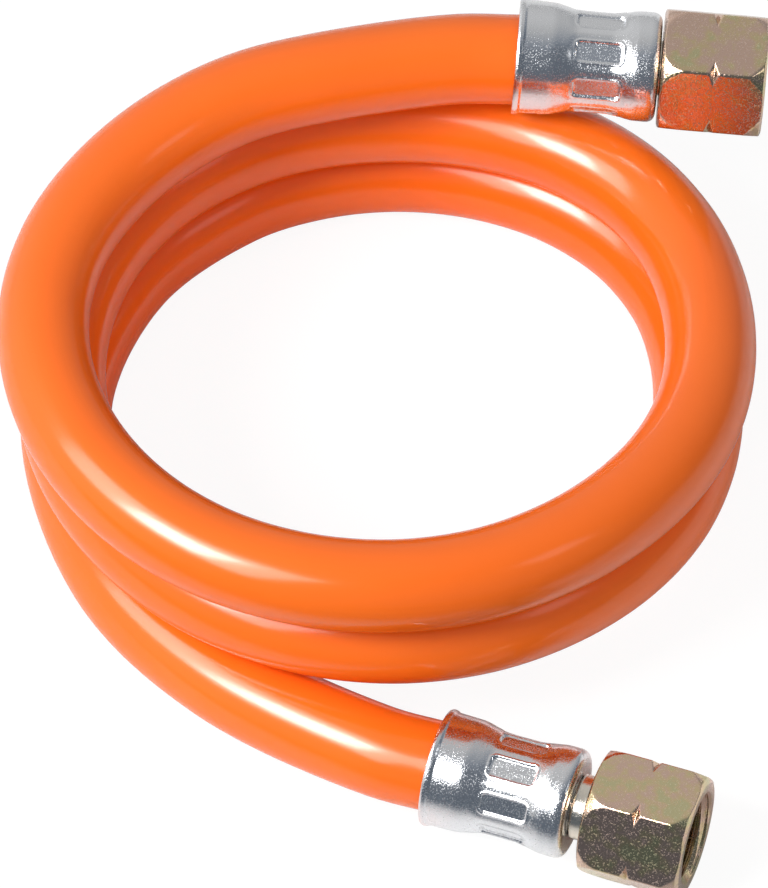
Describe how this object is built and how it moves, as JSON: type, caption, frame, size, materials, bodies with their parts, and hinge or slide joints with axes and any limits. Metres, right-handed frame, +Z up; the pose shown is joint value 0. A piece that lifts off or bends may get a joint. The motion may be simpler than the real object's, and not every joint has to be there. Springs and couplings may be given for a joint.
{
  "type": "low-pressure gas hose",
  "caption": "Flexible low-pressure gas hose lying in a loose coil, with a crimped ferrule and a swivelling left-hand union nut at each end.",
  "frame": {"origin": "on the floor, in the middle of the ground that the coil and its fittings cover", "axes": "+Z up from the floor; +Y from the free lower end back to the upper end; +X the way both fittings roughly point"},
  "size_m": [0.11, 0.1374, 0.0434],
  "materials": {
    "hose": "glossy orange",
    "ferrule": "bright zinc plate",
    "stem": "yellow passivated zinc",
    "nut": "yellow passivated zinc, iridescent"
  },
  "bodies": {
    "hose_line": {"hose": "hose", "upper_ferrule": "ferrule", "upper_stem": "stem", "lower_ferrule": "ferrule", "lower_stem": "stem"},
    "upper_nut": {"upper_union_nut": "nut"},
    "lower_nut": {"lower_union_nut": "nut"}
  },
  "joints": [
    {"name": "upper_nut_swivel", "type": "hinge", "parent": "hose_line", "child": "upper_nut", "pos_m": [0.0468, 0.05777, 0.03347], "axis": [0.9962, -0.0687, -0.0538], "continuous": true},
    {"name": "lower_nut_swivel", "type": "hinge", "parent": "hose_line", "child": "lower_nut", "pos_m": [0.03604, -0.05777, 0.00854], "axis": [0.9455, -0.3256, 0], "continuous": true}
  ]
}
